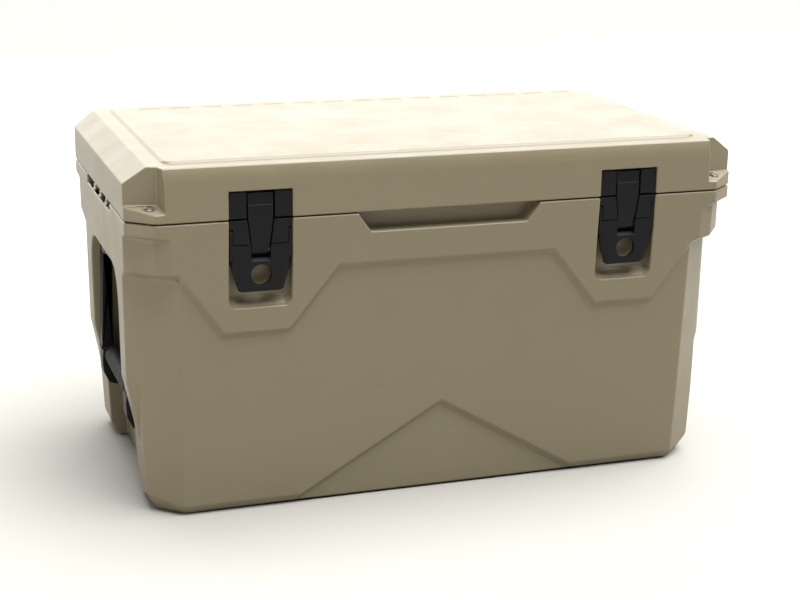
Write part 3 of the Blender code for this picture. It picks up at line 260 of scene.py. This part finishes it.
# ---------------------------------------------------------------- edges
def round_edges(names, radius, least_angle, segments=3, flatten=True):
    """Round the sharp edges of moulded nodes. Flat faces are merged first, so that the rounding runs
    cleanly along each real edge."""
    for name in names:
        made = NODES[name]
        weld = made.modifiers.new("weld", "WELD")
        weld.merge_threshold = WELD_WITHIN
        if flatten:
            merge = made.modifiers.new("merge_flats", "DECIMATE")
            merge.decimate_type = "DISSOLVE"
            merge.angle_limit = math.radians(FLAT_WITHIN)
        bevel = made.modifiers.new("edge_radius", "BEVEL")
        bevel.limit_method = "ANGLE"
        bevel.angle_limit = math.radians(least_angle)
        bevel.width = radius
        bevel.segments = segments
        bevel.use_clamp_overlap = False
        bevel.miter_outer = "MITER_SHARP"
        made.data.shade_smooth()
        normals = made.modifiers.new("even_shading", "WEIGHTED_NORMAL")
        normals.keep_sharp = True
        normals.weight = 100


# ---------------------------------------------------------------- what a user would change
class ChestShellLooks(bpy.types.PropertyGroup):
    """The moulded body and lid."""
    tan: StringProperty(name="Tan", description="Main colour, sRGB hex", default="7E735A")
    shade: StringProperty(name="Shade", description="Deeper tan between the clouds, sRGB hex",
                          default="786D55")
    fleck: StringProperty(name="Fleck", description="Pigment grain, sRGB hex", default="69604B")
    rub: StringProperty(name="Rub", description="Rub marks, sRGB hex", default="A99F8A")
    cloud_mm: FloatProperty(name="Cloud width", description="Width of the colour's clouds in mm",
                            default=60.0, min=5.0)
    roughness: FloatProperty(name="Roughness", description="Middle roughness of the satin skin",
                             default=0.40, min=0.05, max=1.0)
    edge_radius: FloatProperty(name="Edge radius", description="Radius of the moulded edges",
                               default=0.0022, unit="LENGTH", subtype="DISTANCE")
    lid_radius: FloatProperty(name="Lid radius",
                              description="Radius of the lid's edges, less than its raised middle's step",
                              default=0.0016, unit="LENGTH", subtype="DISTANCE")


class ChestFittingLooks(bpy.types.PropertyGroup):
    """The latches, handles, drain, seals and metal."""
    nylon: StringProperty(name="Nylon", description="Latch and handle black, sRGB hex", default="0E0E0F")
    nylon_sheen: StringProperty(name="Nylon sheen", description="Paler flow in the nylon, sRGB hex",
                                default="141416")
    rubber: StringProperty(name="Rubber", description="Grip and foot rubber, sRGB hex", default="121212")
    rubber_dust: StringProperty(name="Rubber dust", description="Dusty rubber, sRGB hex", default="1C1C1B")
    gasket: StringProperty(name="Gasket", description="Lid gasket, sRGB hex", default="38383A")
    gasket_pale: StringProperty(name="Gasket cells", description="Paler cells, sRGB hex", default="4A4A4B")
    foam: StringProperty(name="Foam", description="Foam cell walls, sRGB hex", default="DCCB9C")
    foam_void: StringProperty(name="Foam voids", description="Foam voids, sRGB hex", default="B79F6B")
    steel: StringProperty(name="Steel", description="Bright steel, sRGB hex", default="CDCBC6")
    steel_dull: StringProperty(name="Dull steel", description="Steel between the marks, sRGB hex",
                               default="B2B0AB")
    edge_radius: FloatProperty(name="Edge radius", description="Radius of the fittings' edges",
                               default=0.0006, unit="LENGTH", subtype="DISTANCE")


class ChestStageLooks(bpy.types.PropertyGroup):
    """The floor, the lights and the camera."""
    paper: StringProperty(name="Paper", description="Floor, sRGB hex", default="A39E95")
    paper_fibre: StringProperty(name="Paper fibre", description="Fibres in the floor, sRGB hex",
                                default="9F9A91")
    overhead: FloatProperty(name="Overhead", description="Strength of the wide light above", default=10.3)
    sweep: FloatProperty(name="Sweep", description="Power of the lit sweep behind, watts", default=150.0)
    side: FloatProperty(name="Side", description="Power of the left softbox, watts", default=20.0)
    room: FloatProperty(name="Room", description="Strength of the light from the room", default=0.06)
    azimuth: FloatProperty(name="Azimuth", description="Camera turn from the front",
                           default=math.radians(-18.889), subtype="ANGLE")
    elevation: FloatProperty(name="Elevation", description="Camera height as an angle",
                             default=math.radians(16.131), subtype="ANGLE")
    roll: FloatProperty(name="Roll", description="Camera roll", default=math.radians(0.754), subtype="ANGLE")
    lens_mm: FloatProperty(name="Lens", description="Focal length in mm on a 36 mm sensor", default=74.2)
    eye: FloatVectorProperty(name="Camera place", description="Where the camera stands", size=3,
                             default=(-0.6835, -2.0306, 0.8142), subtype="XYZ", unit="LENGTH")


# ---------------------------------------------------------------- pieces
class CHEST_OT_shells(bpy.types.Operator):
    """Round the edges of the body and lid and give them their moulded skin"""
    bl_idname = "chest.shells"
    bl_label = "Body and lid"

    def execute(self, context):
        looks = context.scene.chest_shell
        round_edges(["body_shell"], looks.edge_radius, SHELL_ANGLE)
        round_edges(["lid_shell"], looks.lid_radius, SHELL_ANGLE)
        wear(["body_shell", "lid_shell", "body_fill_plug", "lid_fill_plug"], moulded_polyethylene(looks))
        return {"FINISHED"}


class CHEST_OT_latches(bpy.types.Operator):
    """Finish both draw latches: keepers, bases, levers and straps in nylon"""
    bl_idname = "chest.latches"
    bl_label = "Latches"

    def execute(self, context):
        looks = context.scene.chest_fittings
        names = [f"latch_{part}_{side}" for part in ("keeper", "base", "lever", "link") for side in SIDES]
        round_edges(names, looks.edge_radius, NYLON_ANGLE, segments=2, flatten=False)
        wear(names, moulded_nylon(looks))
        return {"FINISHED"}


class CHEST_OT_handles(bpy.types.Operator):
    """Finish both swinging handles and their spacers"""
    bl_idname = "chest.handles"
    bl_label = "Handles"

    def execute(self, context):
        looks = context.scene.chest_fittings
        bails = [f"handle_bail_{side}" for side in SIDES]
        spacers = [f"handle_spacer_{side}_{face}" for side in SIDES for face in FACES]
        grips = [f"handle_grip_{side}" for side in SIDES]
        round_edges(bails, BAIL_RADIUS, NYLON_ANGLE)
        round_edges(spacers + grips, looks.edge_radius, SMALL_ANGLE, segments=2)
        wear(bails + spacers, bpy.data.materials["moulded_glass_nylon"])
        wear(grips, moulded_rubber(looks))
        return {"FINISHED"}


class CHEST_OT_drain(bpy.types.Operator):
    """Finish the drain's sleeve, nut, plug and seal"""
    bl_idname = "chest.drain"
    bl_label = "Drain"

    def execute(self, context):
        looks = context.scene.chest_fittings
        names = ["drain_sleeve", "drain_nut", "drain_plug"]
        round_edges(names, looks.edge_radius, SMALL_ANGLE, segments=2)
        wear(names, bpy.data.materials["moulded_glass_nylon"])
        wear(["drain_seal"], bpy.data.materials["moulded_rubber"])
        return {"FINISHED"}


class CHEST_OT_seals(bpy.types.Operator):
    """Finish the feet, the lid's gasket and the foam cores"""
    bl_idname = "chest.seals"
    bl_label = "Feet, gasket and foam"

    def execute(self, context):
        looks = context.scene.chest_fittings
        feet = [f"foot_{face}_{side}" for face in FACES for side in SIDES]
        round_edges(feet, looks.edge_radius, SMALL_ANGLE, segments=2)
        wear(feet, bpy.data.materials["moulded_rubber"])
        wear(["lid_gasket"], extruded_gasket(looks))
        wear(["body_foam_core", "lid_foam_core"], blown_foam(looks))
        return {"FINISHED"}


class CHEST_OT_metal(bpy.types.Operator):
    """Finish the screws, pins, bolts, hinge rods and padlock liners in stainless steel"""
    bl_idname = "chest.metal"
    bl_label = "Metal"

    def execute(self, context):
        names = [f"hinge_rod_{side}" for side in SIDES]
        names += [f"latch_link_pin_{side}" for side in SIDES]
        names += [f"lock_eyelet_{shell}_{side}" for shell in ("body", "lid") for side in SIDES]
        names += [f"handle_bolt_{side}_{face}" for side in SIDES for face in FACES]
        for spot in ("inner", "outer"):
            names += [f"{kind}_{side}_{spot}" for kind in ("base_screw", "keeper_screw", "latch_pivot_pin")
                      for side in SIDES]
        round_edges(names, METAL_RADIUS, SMALL_ANGLE, segments=2)
        wear(names, turned_stainless(context.scene.chest_fittings))
        return {"FINISHED"}


# ---------------------------------------------------------------- stage
def softbox(name, place, size, watts):
    """A white rectangular softbox that faces the chest and is hidden from the camera."""
    lamp = bpy.data.lights.new(name, "AREA")
    lamp.shape = "RECTANGLE"
    lamp.size, lamp.size_y = size
    lamp.energy = watts
    made = bpy.data.objects.new(name, lamp)
    bpy.context.scene.collection.objects.link(made)
    made.location = place
    made.rotation_euler = (MIDDLE - Vector(place)).to_track_quat("-Z", "Y").to_euler()
    made.visible_camera = False


class CHEST_OT_stage(bpy.types.Operator):
    """Lay the paper floor, hang the softboxes and stand the camera"""
    bl_idname = "chest.stage"
    bl_label = "Stage"

    def execute(self, context):
        looks = context.scene.chest_stage
        scene = context.scene
        sheet = bpy.data.meshes.new("studio_floor")
        corners = [(x * FLOOR_REACH, y * FLOOR_REACH, 0) for x, y in ((-1, -1), (1, -1), (1, 1), (-1, 1))]
        sheet.from_pydata(corners, [], [(0, 1, 2, 3)])
        floor = bpy.data.objects.new("studio_floor", sheet)
        scene.collection.objects.link(floor)
        sheet.materials.append(matt_paper(looks))
        above = bpy.data.lights.new("overhead_silk", "SUN")
        above.energy = looks.overhead
        above.angle = math.radians(SILK_SPREAD)
        above.color = linear(SILK_COLOUR)[:3]
        silk = bpy.data.objects.new("overhead_silk", above)
        scene.collection.objects.link(silk)
        silk.rotation_euler = [math.radians(angle) for angle in SILK_TILT]
        softbox("lit_sweep", SWEEP_PLACE, SWEEP_SIZE, looks.sweep)
        softbox("left_softbox", SIDE_PLACE, SIDE_SIZE, looks.side)
        world = bpy.data.worlds.new("studio_room")
        world.use_nodes = True
        tree = world.node_tree
        tree.nodes.clear()
        # a white sweep behind the chest, and a dimmer room round it
        sweep = add_node(tree, "ShaderNodeBackground", {"Color": linear(BACKDROP_COLOUR), "Strength": 1.0})
        room = add_node(tree, "ShaderNodeBackground", {"Color": linear(ROOM_COLOUR), "Strength": looks.room})
        path = add_node(tree, "ShaderNodeLightPath")
        both = add_node(tree, "ShaderNodeMixShader", {
            0: path.outputs["Is Camera Ray"], 1: room.outputs[0], 2: sweep.outputs[0]})
        add_node(tree, "ShaderNodeOutputWorld", {"Surface": both.outputs[0]})
        scene.world = world
        scene.view_settings.view_transform = "Standard"
        turn, rise = looks.azimuth, looks.elevation
        back = Vector((math.sin(turn) * math.cos(rise), -math.cos(turn) * math.cos(rise), math.sin(rise)))
        right = Vector((math.cos(turn), math.sin(turn), 0.0))
        axes = Matrix((right, back.cross(right), back)).transposed().to_4x4()
        camera_data = bpy.data.cameras.new("studio_camera")
        camera_data.lens = looks.lens_mm
        camera_data.sensor_width = SENSOR_MM
        camera = bpy.data.objects.new("studio_camera", camera_data)
        scene.collection.objects.link(camera)
        camera.matrix_world = Matrix.Translation(looks.eye) @ axes @ Matrix.Rotation(looks.roll, 4, "Z")
        scene.camera = camera
        return {"FINISHED"}


# ---------------------------------------------------------------- panel and registration
STEPS = (CHEST_OT_shells, CHEST_OT_latches, CHEST_OT_handles, CHEST_OT_drain, CHEST_OT_seals, CHEST_OT_metal,
         CHEST_OT_stage)
LOOKS = {"chest_shell": ChestShellLooks, "chest_fittings": ChestFittingLooks, "chest_stage": ChestStageLooks}


class CHEST_PT_sidebar(bpy.types.Panel):
    """Every step of the chest, and the sizes and colours that it uses"""
    bl_idname = "CHEST_PT_sidebar"
    bl_label = "Cooler chest"
    bl_space_type = "VIEW_3D"
    bl_region_type = "UI"
    bl_category = "Chest"

    def draw(self, context):
        for name, group in LOOKS.items():
            block = self.layout.box()
            for key in group.__annotations__:
                block.prop(getattr(context.scene, name), key)
        for step in STEPS:
            self.layout.operator(step.bl_idname)


CLASSES = (*LOOKS.values(), *STEPS, CHEST_PT_sidebar)


def register():
    for made in CLASSES:
        bpy.utils.register_class(made)
    for name, group in LOOKS.items():
        setattr(bpy.types.Scene, name, PointerProperty(type=group))


def unregister():
    for name in LOOKS:
        delattr(bpy.types.Scene, name)
    for made in reversed(CLASSES):
        bpy.utils.unregister_class(made)


def main():
    register()
    bpy.ops.chest.shells()
    bpy.ops.chest.latches()
    bpy.ops.chest.handles()
    bpy.ops.chest.drain()
    bpy.ops.chest.seals()
    bpy.ops.chest.metal()
    bpy.ops.chest.stage()


if __name__ == "__main__":
    main()
